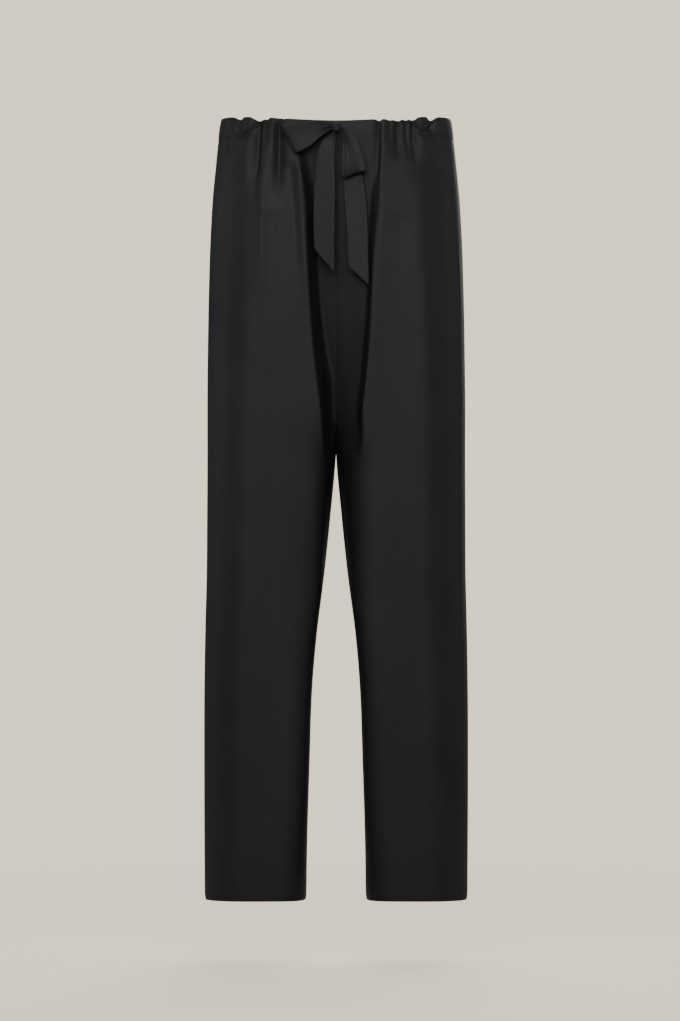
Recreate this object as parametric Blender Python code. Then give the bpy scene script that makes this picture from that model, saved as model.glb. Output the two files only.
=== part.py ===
"""Drawstring trousers of black satin crepe, filled out as they are worn, with nobody in them.

They are built as they are sewn: four leg panels that meet at the side seams, the inseams and the two
centre seams, a waist casing in a front and a back length, folded over like a hairpin, and a flat tie that
is knotted in a bow at the centre front. Each piece is a thin wall of cloth with a hairline gap at its seams.

Metres. +X is the wearer's left, -Y the front and +Z up. The origin is the middle of the waist, level with
the middle of the casing at the side seams. "Drop" is the distance down from the casing's top edge.
"""

import math

import bpy
import numpy as np

# Lengths down the garment
OUTSEAM = 1.055
CASING_HEIGHT = 0.028
RISE = 0.454
WAIST_TOP = CASING_HEIGHT / 2
FRONT_DIP = 0.0066
DIP_REACH = 0.30

# Cloth
CLOTH = 0.0012
CASING_CHANNEL = 0.0020
SEAM_GAP = 0.0003
RIBBON_CLOTH = 0.0012

# Colour and roughness
SATIN = ((0.021, 0.021, 0.022), 0.45)
TIE_SATIN = ((0.024, 0.024, 0.025), 0.42)

# Girth: a row for each level. Outer and inner are the leg's edges seen from the front, front and back are
# the depths of the two halves, and crest is where each half is deepest.
LEVEL_COLUMNS = ("drop", "outer", "inner", "front", "back", "crest")
LEVELS = (
    (0.000, 0.1559, 0.0000, 0.0985, 0.100, 0.020),
    (0.028, 0.1596, 0.0000, 0.1010, 0.104, 0.022),
    (0.060, 0.1629, 0.0000, 0.1060, 0.111, 0.027),
    (0.105, 0.1674, 0.0000, 0.1110, 0.122, 0.036),
    (0.160, 0.1706, 0.0000, 0.1130, 0.132, 0.048),
    (0.230, 0.1728, 0.0000, 0.1125, 0.136, 0.062),
    (0.310, 0.1742, 0.0000, 0.1095, 0.131, 0.076),
    (0.390, 0.1749, 0.0000, 0.1060, 0.121, 0.085),
    (0.454, 0.1748, 0.0004, 0.1030, 0.112, 0.087),
    (0.534, 0.1751, 0.0072, 0.1000, 0.104, 0.0905),
    (0.614, 0.1756, 0.0158, 0.0970, 0.099, 0.095),
    (0.694, 0.1776, 0.0262, 0.0940, 0.095, 0.101),
    (0.774, 0.1789, 0.0328, 0.0910, 0.092, 0.105),
    (0.874, 0.1792, 0.0364, 0.0880, 0.089, 0.107),
    (0.974, 0.1789, 0.0394, 0.0865, 0.087, 0.1085),
    (1.055, 0.1784, 0.0406, 0.0855, 0.086, 0.1090),
)
ROUNDNESS = 2.7
INNER_ROUNDNESS = 6.0
HEM_ROUNDNESS = 3.6
HEM_FORM_LENGTH = 0.20
LEG_FORM_REACH = 0.070

# The hollow between the legs: where its edge runs on each side, and how far its floor lies behind the cloth
# beside it. Below the crotch it has no floor, and its edge runs on as the front or back corner of each leg.
RECESS_COLUMNS = (
    "drop", "right_edge", "right_flank", "left_edge", "front_depth", "back_edge", "back_depth"
)
RECESS = (
    (0.000, 0.058, 0.016, 0.060, 0.000, 0.030, 0.000),
    (0.028, 0.055, 0.016, 0.060, 0.004, 0.030, 0.001),
    (0.060, 0.050, 0.016, 0.060, 0.013, 0.030, 0.002),
    (0.105, 0.043, 0.016, 0.055, 0.024, 0.030, 0.003),
    (0.160, 0.041, 0.016, 0.052, 0.032, 0.031, 0.004),
    (0.230, 0.037, 0.016, 0.049, 0.041, 0.032, 0.007),
    (0.310, 0.031, 0.020, 0.044, 0.050, 0.030, 0.014),
    (0.370, 0.024, 0.026, 0.038, 0.061, 0.027, 0.026),
    (0.420, 0.0175, 0.026, 0.0305, 0.074, 0.024, 0.042),
    (0.454, 0.0145, 0.026, 0.0245, 0.084, 0.022, 0.055),
    (0.520, 0.0160, 0.026, 0.0225, 0.084, 0.022, 0.055),
    (0.600, 0.0185, 0.026, 0.0215, 0.084, 0.022, 0.055),
)
LEFT_FLANK = 0.008
BACK_FLANK = 0.024
FLANK_LEAN = 0.80
RIGHT_TILT = 0.26
LEFT_TILT = -0.45

# Folds of the front, from the wearer's right to left. Each runs from its top at drop "start" to "end" while
# it moves from x "top" to x "low". A height below nought is a trough and one above it a ridge.
FOLD_COLUMNS = ("top", "low", "start", "end", "height", "width")
FRONT_FOLDS = (
    (-0.1318, -0.1290, -0.010, 0.030, -0.0062, 0.0058),
    (-0.1046, -0.1100, -0.010, 0.120, -0.0098, 0.0062),
    (-0.0985, -0.1000, 0.010, 0.300, 0.0034, 0.0060),
    (-0.0935, -0.0985, -0.010, 0.052, -0.0042, 0.0042),
    (-0.0850, -0.0845, -0.010, 0.100, 0.0026, 0.0054),
    (-0.0768, -0.0782, -0.003, 0.118, -0.0096, 0.0060),
    (-0.0620, -0.0480, 0.050, 0.260, -0.0028, 0.0080),
    (-0.0500, -0.0375, 0.050, 0.300, 0.0030, 0.0060),
    (0.0577, 0.0500, -0.010, 0.200, -0.0040, 0.0034),
    (0.0640, 0.0520, 0.000, 0.330, 0.0014, 0.0070),
    (0.0720, 0.0725, -0.010, 0.046, -0.0036, 0.0054),
    (0.0838, 0.0838, -0.010, 0.070, -0.0066, 0.0056),
    (0.0945, 0.0985, -0.010, 0.060, -0.0056, 0.0048),
    (0.1045, 0.1075, -0.010, 0.072, -0.0060, 0.0050),
    (0.1300, 0.1310, -0.012, 0.030, -0.0075, 0.0056),
    (0.1290, 0.1330, 0.060, 0.260, -0.0022, 0.0090),
)

# Hollows of the cloth that hangs between two gathers, each along a bowed line: the line's middle, how far
# it reaches to each side, how high its ends curl up, how it leans, and the hollow's depth and half height.
SWAG_COLUMNS = ("x", "drop", "reach", "curl", "lean", "depth", "half_height")
FRONT_SWAGS = (
    (-0.1235, 0.0240, 0.0165, 0.0120, 0.00, 0.0040, 0.0050),
    (-0.1455, 0.0360, 0.0080, 0.0000, 0.00, 0.0038, 0.0110),
    (0.1200, 0.0212, 0.0165, 0.0125, 0.00, 0.0038, 0.0050),
    (0.1465, 0.0340, 0.0110, 0.0000, 0.60, 0.0026, 0.0075),
)

# Gathers of the back, which the front's spacing sets: their number on each half and their mean size.
BACK_GATHERS = 9
BACK_GATHER_FIRST = 0.010
BACK_GATHER_STEP = 0.0150
BACK_GATHER_DEPTH = 0.0050
BACK_GATHER_LENGTH = 0.075
BACK_GATHER_WIDTH = 0.0055

# Broad soft drapes down the legs, shared by the front and the back: x at the hip and at the hem.
DRAPES = (
    (0.1180, 0.1250, 0.080, 1.300, 0.0022, 0.0200),
    (0.0860, 0.0960, 0.120, 1.300, -0.0016, 0.0160),
)
PUFF_RISE = 0.0014
NOTCH_SHARE = 0.80
NOTCH_START = 0.003
INNER_CALM = 0.030
CALM_START = 0.30
CALM_LENGTH = 0.12
FADE_IN = 0.020
FOLD_SPREAD = 0.8
PUFF_SHARE = 0.12

# How finely the walls are divided. The landmark columns follow the hollow's edge and the foot of its flank.
LANDMARKS = {"front": (0.0, 0.70, 0.85, 1.0), "back": (0.0, 0.85, 0.95, 1.0)}
LANDMARK_FADE = 0.25
FINE_COLUMNS = 40
SECTION_POINTS = 61
SMALLEST_LENGTH = 1e-14
SHARP_ANGLE = 50
FINE_ROWS = 8
FINE_END = 0.175
BODY_ROWS = 10
LEG_ROWS = 10

# The tie: a row for each rib of the strip, from the knot out. Side a and side b are its two edges, x across
# and z up, and "out" is how far the rib stands in front of the waist's middle.
TAIL_RIGHT = (
    (-0.0055, -0.0098, -0.0002, -0.0096, 0.1060, 0.1060),
    (-0.0170, -0.0190, -0.0012, -0.0200, 0.1085, 0.1095),
    (-0.0250, -0.0400, -0.0022, -0.0430, 0.1095, 0.1110),
    (-0.0290, -0.0880, -0.0018, -0.0880, 0.1085, 0.1105),
    (-0.0302, -0.1260, -0.0024, -0.1340, 0.1075, 0.1090),
    (-0.0290, -0.1634, -0.0024, -0.1953, 0.1060, 0.1070),
)
TAIL_LEFT = (
    (0.0010, -0.0098, 0.0052, -0.0096, 0.1045, 0.1045),
    (0.0040, -0.0260, 0.0190, -0.0230, 0.1050, 0.1050),
    (0.0078, -0.0520, 0.0310, -0.0490, 0.1045, 0.1050),
    (0.0109, -0.0848, 0.0384, -0.0860, 0.1045, 0.1050),
    (0.0140, -0.1250, 0.0420, -0.1340, 0.1050, 0.1060),
    (0.0176, -0.1873, 0.0440, -0.2126, 0.1060, 0.1065),
)
LOOP_RIGHT = (
    (-0.0086, 0.0038, -0.0084, -0.0040, 0.1110, 0.1110),
    (-0.0240, 0.0068, -0.0200, -0.0140, 0.1165, 0.1160),
    (-0.0450, 0.0050, -0.0345, -0.0262, 0.1190, 0.1180),
    (-0.0650, 0.0010, -0.0495, -0.0340, 0.1180, 0.1170),
    (-0.0750, 0.0020, -0.0550, -0.0340, 0.1150, 0.1145),
    (-0.0710, 0.0045, -0.0555, -0.0290, 0.1118, 0.1120),
    (-0.0480, 0.0066, -0.0400, -0.0220, 0.1100, 0.1110),
    (-0.0240, 0.0066, -0.0220, -0.0110, 0.1080, 0.1095),
    (-0.0086, 0.0036, -0.0084, -0.0038, 0.1062, 0.1064),
)
LOOP_LEFT = (
    (0.0068, -0.0065, 0.0082, -0.0035, 0.1085, 0.1085),
    (0.0076, -0.0250, 0.0190, -0.0225, 0.1170, 0.1175),
    (0.0074, -0.0460, 0.0262, -0.0430, 0.1195, 0.1200),
    (0.0078, -0.0640, 0.0325, -0.0585, 0.1180, 0.1185),
    (0.0118, -0.0695, 0.0375, -0.0605, 0.1150, 0.1155),
    (0.0145, -0.0650, 0.0395, -0.0550, 0.1120, 0.1125),
    (0.0140, -0.0430, 0.0345, -0.0345, 0.1105, 0.1110),
    (0.0128, -0.0210, 0.0265, -0.0135, 0.1090, 0.1095),
    (0.0082, -0.0040, 0.0084, 0.0020, 0.1062, 0.1064),
)
RIBS_BETWEEN = 3
KNOT_HALF = (0.0078, 0.0062, 0.0080)
KNOT_HEIGHT = -0.0010
KNOT_SQUARE = 2.6
KNOT_RINGS = 7
KNOT_SIDES = 14


def table(columns, rows):
    """The table's columns by name, as arrays."""
    return dict(zip(columns, np.array(rows, float).T))


LEVEL = table(LEVEL_COLUMNS, LEVELS)
HOLLOW = table(RECESS_COLUMNS, RECESS)


def smooth_curve(xs, ys, x):
    """A smooth line through the points of a table, read at x. It keeps level past both ends."""
    xs, ys = np.asarray(xs), np.asarray(ys)
    x = np.clip(x, xs[0], xs[-1])
    slopes = np.gradient(ys, xs)
    i = np.clip(np.searchsorted(xs, x, side="right") - 1, 0, len(xs) - 2)
    span = xs[i + 1] - xs[i]
    t = (x - xs[i]) / span
    start = (2 * t**3 - 3 * t**2 + 1) * ys[i] + (t**3 - 2 * t**2 + t) * span * slopes[i]
    end = (-2 * t**3 + 3 * t**2) * ys[i + 1] + (t**3 - t**2) * span * slopes[i + 1]
    return start + end


def ease(t):
    """Nought to one with level ends."""
    t = np.clip(t, 0.0, 1.0)
    return t * t * (3.0 - 2.0 * t)


def level(column, drop):
    return float(smooth_curve(LEVEL["drop"], LEVEL[column], drop))


def hollow(column, drop):
    return float(smooth_curve(HOLLOW["drop"], HOLLOW[column], drop))


def leg_share(drop, along):
    """Nought where the cloth spans both legs, one from the crotch down, where each leg is a tube.

    Along is nought at the crest and one at the centre seam, which runs into the crotch level, like a J.
    """
    t = np.clip((drop - (RISE - LEG_FORM_REACH)) / LEG_FORM_REACH, 0.0, 1.0)
    seam = 1.0 - math.sqrt(1.0 - t * t)
    return ease(t) + (seam - ease(t)) * np.asarray(along) ** 3


def recess_shape(side, face, drop):
    """The hollow's edge, flank width, depth and floor tilt on one panel."""
    if face == "back":
        return hollow("back_edge", drop), BACK_FLANK, hollow("back_depth", drop), 0.0
    edge = hollow("right_edge" if side < 0 else "left_edge", drop)
    flank = min(hollow("right_flank", drop) if side < 0 else LEFT_FLANK, 0.9 * edge)
    return edge, flank, hollow("front_depth", drop), RIGHT_TILT if side < 0 else LEFT_TILT


def recess_at(side, face, drop, x):
    """How far the hollow between the legs sets the cloth back at a distance x from the middle."""
    edge, flank, depth, tilt = recess_shape(side, face, drop)
    slope = 1.0 + tilt * np.clip(x / edge, 0.0, 1.0)
    into = np.clip((edge - x) / min(flank, 0.9 * edge), 0.0, 1.0)
    return depth * slope * ease(into ** (FLANK_LEAN if face == "front" else 1.0))


def section(side, face, drop):
    """Points (x, depth) of a panel's section from the side seam in, and their x before the leg forms."""
    outer, inner, crest, deep = (level(c, drop) for c in ("outer", "inner", "crest", face))
    power = 2.0 / ROUNDNESS
    turn = np.linspace(0.0, math.pi / 2, SECTION_POINTS)
    x_outer = crest + (outer - crest) * np.cos(turn).clip(0.0) ** power
    depth_outer = deep * np.sin(turn) ** power
    along = np.linspace(0.0, 1.0, SECTION_POINTS)[1:]
    near_hem = ease(1.0 - (OUTSEAM - drop) / HEM_FORM_LENGTH)
    roundness = INNER_ROUNDNESS + (HEM_ROUNDNESS - INNER_ROUNDNESS) * near_hem
    inner_turn = math.pi / 2 * along ** (roundness / 2)
    share_deep = np.cos(inner_turn).clip(0.0) ** (2.0 / roundness)
    depth_leg = deep * share_deep
    corner = max(recess_shape(side, face, drop)[0], inner)
    x_leg = crest - (crest - corner) * np.sin(inner_turn) ** (2.0 / roundness)
    x_leg -= (corner - inner) * (1.0 - share_deep)
    x_body = crest * (1.0 - along)
    share = leg_share(drop, along)
    depth_body = deep - recess_at(side, face, drop, x_body)
    depth_outer = depth_outer - recess_at(side, face, drop, x_outer) * (1.0 - leg_share(drop, 0.0))
    x = np.concatenate([x_outer, x_body + (x_leg - x_body) * share])
    depth = np.concatenate([depth_outer, depth_body + (depth_leg - depth_body) * share])
    return x, depth, np.concatenate([x_outer, x_body])


def places(columns, side, face, drop, arc, x_plan):
    """Where the columns stand along a section: evenly between its landmarks above the crotch."""
    edge, flank, depth, tilt = recess_shape(side, face, drop)
    crest = SECTION_POINTS - 1
    level_arc = np.concatenate([arc[:crest], arc[crest] + x_plan[crest] - x_plan[crest:]])
    at_edge = np.interp(-edge, -x_plan, level_arc)
    slope_length = math.hypot(flank, depth * (1.0 + tilt))
    at_foot = at_edge + (arc[-1] - at_edge) * slope_length / (slope_length + edge - flank)
    marks = np.array([0.0, at_edge, at_foot, arc[-1]])
    even = np.array(LANDMARKS[face]) * arc[-1]
    marks += (even - marks) * ease((drop - RISE) / LANDMARK_FADE)
    return np.interp(columns, LANDMARKS[face], marks)


def fades(drop, start, end):
    """The fold's strength at a drop: it comes in over 20 mm and dies away over its last half."""
    rise = ease((drop - start) / FADE_IN)
    fall = 1.0 - ease((drop - (start + end) / 2) / ((end - start) / 2))
    return rise * fall


def back_folds():
    """The back's gathers, whose sizes vary as the front's do."""
    rows = []
    for side in (-1, 1):
        for i in range(BACK_GATHERS):
            vary = math.sin(2.4 * i + 0.9 * side)
            x = side * (BACK_GATHER_FIRST + BACK_GATHER_STEP * (i + 0.22 * vary))
            length = BACK_GATHER_LENGTH * (1.0 + 0.6 * math.sin(1.7 * i + side))
            depth = BACK_GATHER_DEPTH * (1.0 + 0.4 * vary)
            rows.append((x, 1.02 * x, -0.010, length, -depth, BACK_GATHER_WIDTH))
    return tuple(rows)


def folds_on(side, face):
    """The folds of one panel."""
    rows = [r for r in (FRONT_FOLDS if face == "front" else back_folds()) if r[0] * side > 0]
    rows += [(side * top, side * low, *rest) for top, low, *rest in DRAPES]
    return rows


def swags_at(side, drop, x, arc):
    """How far the bowed hollows of the front pull the cloth in, with a slight puff above each."""
    pull = np.zeros_like(arc)
    for middle, low, reach, curl, lean, depth, half_height in FRONT_SWAGS:
        if middle * side > 0:
            outward = (np.interp(abs(middle), x[::-1], arc[::-1]) - arc) / reach
            line = low + lean * reach * outward - curl * np.minimum(outward**2, 1.5)
            above = (line - drop) / half_height
            across = np.exp(-(outward**4))
            pull += depth * across * (np.exp(-(above**2)) - PUFF_SHARE * np.exp(-((above / 1.6 - 1.4) ** 2)))
    return pull


def push_at(side, face, drop, x, arc):
    """How far the folds move the cloth out at each point of a section."""
    push = np.zeros_like(arc)
    for top, low, start, end, height, width in folds_on(side, face):
        strength = fades(drop, start, end)
        if strength == 0.0:
            continue
        t = min(max((drop - max(start, 0.0)) / (end - max(start, 0.0)), 0.0), 1.0)
        arc_fold = np.interp(abs(top + (low - top) * t), x[::-1], arc[::-1])
        away = np.abs(arc - arc_fold) / (width * (1.0 + FOLD_SPREAD * t))
        push += height * strength * np.exp(-(away**1.5))
    if face == "front":
        push -= swags_at(side, drop, x, arc)
    near_crotch = ease((drop - CALM_START) / CALM_LENGTH)
    from_inner = ease((arc[-1] - arc) / INNER_CALM)
    return push * (1.0 - near_crotch * (1.0 - from_inner))


def cloth_row(side, face, drop, columns):
    """One row of a panel's outside: points (x, y, z), and how far the folds move each."""
    x, depth, x_plan = section(side, face, drop)
    arc = np.concatenate([[0.0], np.cumsum(np.hypot(np.diff(x), np.diff(depth)))])
    push = push_at(side, face, drop, x, arc)
    tangent_x, tangent_d = np.gradient(x, arc + 1e-12 * np.arange(len(arc))), np.gradient(depth, arc)
    size = np.hypot(tangent_x, tangent_d)
    # The way out of the section is a quarter turn from its tangent.
    x_out, depth_out = tangent_d / size, -tangent_x / size
    x, depth = x + x_out * push, depth + depth_out * push
    wanted = places(columns, side, face, drop, arc, x_plan)
    x_row, depth_row, push_row = (np.interp(wanted, arc, v) for v in (x, depth, push))
    forward = -1.0 if face == "front" else 1.0
    dip = FRONT_DIP * (1.0 - ease(x_row / level("outer", drop))) if face == "front" else 0.0
    fade = (1.0 - ease(drop / DIP_REACH)) if drop < DIP_REACH else 0.0
    z = WAIST_TOP - drop - dip * fade
    return np.stack([side * x_row, forward * depth_row, z + 0.0 * x_row], axis=1), push_row


def spaced(start, end, count, power):
    """Count steps from start to end, closer at the start for a power over one."""
    return [start + (end - start) * (i / count) ** power for i in range(1, count + 1)]


def panel_drops():
    """Drops of the panels' rows, and how many of them have all the columns."""
    top = CASING_HEIGHT
    fine = [top] + spaced(top, FINE_END, FINE_ROWS, 1.35)
    body = [FINE_END + RISE - d for d in spaced(FINE_END, RISE, BODY_ROWS, 2.0)[::-1]][1:] + [RISE]
    leg = spaced(RISE, OUTSEAM, LEG_ROWS, 1.45)
    return fine + body + leg, len(fine)


def normals_of(grids, side, face, drops):
    """Outward normals of a panel's rows. Across a seam they follow the cloth of the next panel."""
    grid, other_face = grids[side, face], grids[side, "back" if face == "front" else "front"]
    other_side = grids[-side, face]
    joined = np.array([d < RISE for d in drops])
    past_inner = np.where(joined[:, None], other_side[:, -2], other_face[:, -2])
    wide = np.concatenate([other_face[:, 1:2], grid, past_inner[:, None]], axis=1)
    along = wide[:, 2:] - wide[:, :-2]
    down = np.empty_like(grid)
    down[1:-1] = grid[2:] - grid[:-2]
    down[0], down[-1] = grid[1] - grid[0], grid[-1] - grid[-2]
    normal = np.cross(along, down) * facing(side, face)
    length = np.linalg.norm(normal, axis=2, keepdims=True)
    return normal / np.maximum(length, SMALLEST_LENGTH)


def facing(side, face):
    """One where a panel's rows and columns wind outwards, and minus one where they wind inwards."""
    return side * (1 if face == "front" else -1)


def all_grids(drops, columns):
    """The outside points of the four panels at these drops."""
    return {
        (side, face): np.array([cloth_row(side, face, d, columns)[0] for d in drops])
        for side in (-1, 1)
        for face in ("front", "back")
    }


def open_seams(points, side, face):
    """Keeps a panel half the seam gap clear of the middle and of the front and back's shared line."""
    half = SEAM_GAP / 2
    forward = -1.0 if face == "front" else 1.0
    points[..., 0] = side * np.maximum(half, side * points[..., 0])
    points[..., 1] = forward * np.maximum(half, forward * points[..., 1])


def strip_faces(fine, coarse):
    """Triangles between two rows of vertex numbers, where the lower may have every second column only."""
    faces = []
    if len(fine) == len(coarse):
        for i in range(len(fine) - 1):
            faces += [(fine[i], fine[i + 1], coarse[i]), (fine[i + 1], coarse[i + 1], coarse[i])]
        return faces
    for i in range(len(coarse) - 1):
        left, middle, right = fine[2 * i : 2 * i + 3]
        faces += [(left, middle, coarse[i]), (middle, coarse[i + 1], coarse[i])]
        faces.append((middle, right, coarse[i + 1]))
    return faces


def cloth_wall(name, faces, outside, inside, look):
    """A closed wall: the outside faces, the same faces turned round inside, and a rim between them."""
    count = len(outside)
    edges = {(a, b) for f in faces for a, b in zip(f, f[1:] + f[:1])}
    rim = [(b, a, a + count, b + count) for a, b in edges if (b, a) not in edges]
    back = [tuple(i + count for i in f[::-1]) for f in faces]
    return add_mesh(name, [*outside, *inside], [*faces, *back, *sorted(rim)], *look)


def add_mesh(name, points, faces, colour, roughness):
    mesh = bpy.data.meshes.new(name)
    mesh.from_pydata([tuple(map(float, p)) for p in points], [], faces)
    mesh.materials.append(cloth_material(f"{name}_cloth", colour, roughness))
    mesh.shade_smooth()
    mesh.set_sharp_from_angle(angle=math.radians(SHARP_ANGLE))
    mesh.update()
    thing = bpy.data.objects.new(name, mesh)
    bpy.context.scene.collection.objects.link(thing)
    return thing


def leg_panel(name, side, face, grids, drops, fine_rows):
    """One leg panel, from the casing seam to the hem."""
    outside = grids[side, face].copy()
    normals = normals_of(grids, side, face, drops)
    inside = outside - normals * CLOTH
    for points in (outside, inside):
        open_seams(points, side, face)
    outside[0, :, 2] -= SEAM_GAP / 2
    inside[0, :, 2] = outside[0, :, 2]
    number, kept_out, kept_in, rows = 0, [], [], []
    for row in range(len(drops)):
        step = 1 if row < fine_rows else 2
        columns = range(0, outside.shape[1], step)
        rows.append([number + i for i in range(len(columns))])
        number += len(columns)
        kept_out += [outside[row, c] for c in columns]
        kept_in += [inside[row, c] for c in columns]
    faces = [f for upper, lower in zip(rows, rows[1:]) for f in strip_faces(upper, lower)]
    if facing(side, face) < 0:
        faces = [f[::-1] for f in faces]
    return cloth_wall(name, faces, kept_out, kept_in, SATIN)


def casing_profile():
    """The folded casing's outline: drop from its top edge, and distance in from the outside of the cloth."""
    height, wall, channel = CASING_HEIGHT - SEAM_GAP / 2, CLOTH, CASING_CHANNEL
    full = 2 * wall + channel
    fold = full / 2
    return (
        (height, 0.0),
        (0.5 * height, 0.0),
        (fold, 0.0),
        (0.3 * fold, 0.3 * fold),
        (0.0, fold),
        (0.3 * fold, full - 0.3 * fold),
        (fold, full),
        (height, full),
        (height, full - wall),
        (1.2 * fold, full - wall),
        (wall, fold),
        (1.2 * fold, wall),
        (height, wall),
    )


def casing_half(name, face, columns):
    """The casing's front or back length, from side seam to side seam, gathered like the cloth below it."""
    profile = casing_profile()
    levels = {0.0, CASING_HEIGHT / 2, CASING_HEIGHT, 2 * CASING_HEIGHT}
    heights = sorted(levels | {drop for drop, _ in profile})
    grids = all_grids(heights, columns)
    at_drop = {drop: row for row, drop in enumerate(heights)}
    stations = []
    for side in (-1, 1):
        out = normals_of(grids, side, face, heights)[at_drop[CASING_HEIGHT / 2]] * (1.0, 1.0, 0.0)
        out = out / np.linalg.norm(out, axis=1, keepdims=True)
        grid = grids[side, face]
        puffs = edge_puffs(side, face, columns)
        for column in range(len(columns))[:: 1 if side < 0 else -1]:
            if side > 0 and column == len(columns) - 1:
                continue
            ring = []
            for drop, inward in profile:
                row = at_drop[drop]
                lift = puffs[column] * (1.0 - drop / CASING_HEIGHT)
                point = grid[row, column] - out[column] * inward
                ring.append(point + np.array([0.0, 0.0, lift]))
            stations.append(np.array(ring))
    forward = -1.0 if face == "front" else 1.0
    for end in (0, -1):
        stations[end][:, 1] = forward * SEAM_GAP / 2
    size = len(profile)
    faces = []
    for s in range(len(stations) - 1):
        for i in range(size):
            a, b = s * size + i, s * size + (i + 1) % size
            faces += [(a, b, b + size), (a, b + size, a + size)]
    caps = casing_cap(size)
    last = (len(stations) - 1) * size
    faces += [f[::-1] for f in caps]
    faces += [tuple(last + i for i in f) for f in caps]
    if face == "front":
        faces = [f[::-1] for f in faces]
    return add_mesh(name, np.concatenate(stations), faces, *SATIN)


def casing_cap(size):
    """Triangles that close the hairpin outline: its outer points pair with its inner ones."""
    outer, inner = list(range(8)), [12, 12, 11, 11, 10, 9, 9, 8]
    faces = []
    for i in range(len(outer) - 1):
        faces.append((outer[i], outer[i + 1], inner[i]))
        if inner[i] != inner[i + 1]:
            faces.append((outer[i + 1], inner[i + 1], inner[i]))
    return faces


def edge_puffs(side, face, columns):
    """How far the casing's top edge stands above its mean line: up on a puff, down in a trough."""
    _, push = cloth_row(side, face, 0.0, columns)
    return np.where(push < 0, NOTCH_SHARE * push, 0.0) + PUFF_RISE * (1.0 - ease(-push / NOTCH_START))


def ribs(rows):
    """The strip's ribs, with smooth ones between the table's rows, as two arrays of points."""
    values = np.array(rows)
    at = np.linspace(0, len(rows) - 1, (len(rows) - 1) * RIBS_BETWEEN + 1)
    steps = np.arange(len(rows), dtype=float)
    smooth = np.stack([smooth_curve(steps, values[:, k], at) for k in range(values.shape[1])], axis=1)
    side_a = np.stack([smooth[:, 0], -smooth[:, 4], smooth[:, 1]], axis=1)
    side_b = np.stack([smooth[:, 2], -smooth[:, 5], smooth[:, 3]], axis=1)
    return side_a, side_b


def strip(name, rows):
    """A flat length of the tie between two edges, as a thin wall."""
    side_a, side_b = ribs(rows)
    middle = (side_a + side_b) / 2
    grid = np.stack([side_a, middle, side_b], axis=1)
    down = np.gradient(middle, axis=0)[:, None]
    across = (side_b - side_a)[:, None]
    normal = np.cross(across, down)
    normal = normal / np.linalg.norm(normal, axis=2, keepdims=True)
    front, back = grid + normal * RIBBON_CLOTH / 2, grid - normal * RIBBON_CLOTH / 2
    width = grid.shape[1]
    faces = []
    for r in range(len(grid) - 1):
        faces += strip_faces(range(r * width, (r + 1) * width), range((r + 1) * width, (r + 2) * width))
    return cloth_wall(name, faces, front.reshape(-1, 3), back.reshape(-1, 3), TIE_SATIN)


def knot(name):
    """The bow's knot, a rounded cushion that sits on the casing."""
    half_x, half_y, half_z = KNOT_HALF
    behind = max(level("front", d) - recess_at(1, "front", d, 0.0) for d in (0.0, 0.5 * CASING_HEIGHT))
    middle_y = -(behind + SEAM_GAP + half_y)
    power = 2.0 / KNOT_SQUARE
    points = [(0.0, middle_y, KNOT_HEIGHT + half_z)]
    for ring in range(1, KNOT_RINGS):
        lift = math.pi * ring / KNOT_RINGS
        for i in range(KNOT_SIDES):
            turn = 2 * math.pi * i / KNOT_SIDES
            wide = math.sin(lift) ** power
            x = half_x * wide * math.copysign(abs(math.cos(turn)) ** power, math.cos(turn))
            y = half_y * wide * math.copysign(abs(math.sin(turn)) ** power, math.sin(turn))
            z = half_z * math.copysign(abs(math.cos(lift)) ** power, math.cos(lift))
            points.append((x, middle_y + y, KNOT_HEIGHT + z))
    points.append((0.0, middle_y, KNOT_HEIGHT - half_z))
    last = len(points) - 1
    faces = []
    for i in range(KNOT_SIDES):
        j = (i + 1) % KNOT_SIDES
        faces.append((0, 1 + i, 1 + j))
        faces.append((last, last - KNOT_SIDES + j, last - KNOT_SIDES + i))
        for ring in range(KNOT_RINGS - 2):
            a, b = 1 + ring * KNOT_SIDES + i, 1 + ring * KNOT_SIDES + j
            faces += [(a, a + KNOT_SIDES, b), (b, a + KNOT_SIDES, b + KNOT_SIDES)]
    return add_mesh(name, points, faces, *TIE_SATIN)


def cloth_material(name, colour, roughness):
    material = bpy.data.materials.new(name)
    material.use_nodes = True
    shader = material.node_tree.nodes["Principled BSDF"]
    shader.inputs["Base Color"].default_value = (*colour, 1.0)
    shader.inputs["Roughness"].default_value = roughness
    shader.inputs["Metallic"].default_value = 0.0
    material.diffuse_color = (*colour, 1.0)
    return material


def main():
    for old in list(bpy.data.objects):
        bpy.data.objects.remove(old)
    columns = np.linspace(0.0, 1.0, FINE_COLUMNS + 1)
    drops, fine_rows = panel_drops()
    grids = all_grids(drops, columns)
    for face in ("front", "back"):
        leg_panel(f"{face}_right_leg", -1, face, grids, drops, fine_rows)
        leg_panel(f"{face}_left_leg", 1, face, grids, drops, fine_rows)
        casing_half(f"casing_{face}", face, columns)
    knot("tie_knot")
    strip("tie_loop_right", LOOP_RIGHT)
    strip("tie_loop_left", LOOP_LEFT)
    strip("tie_tail_right", TAIL_RIGHT)
    strip("tie_tail_left", TAIL_LEFT)


main()
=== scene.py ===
"""Looks of the drawstring trousers: fine cloth walls on the frame's solids, stitching, bow and black satin.

Metres, in the frame's axes: +X is the wearer's left, -Y the front, +Z up, and the origin is the middle of the
waist. "Drop" is the distance down from the casing's top edge.
"""

import math

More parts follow.
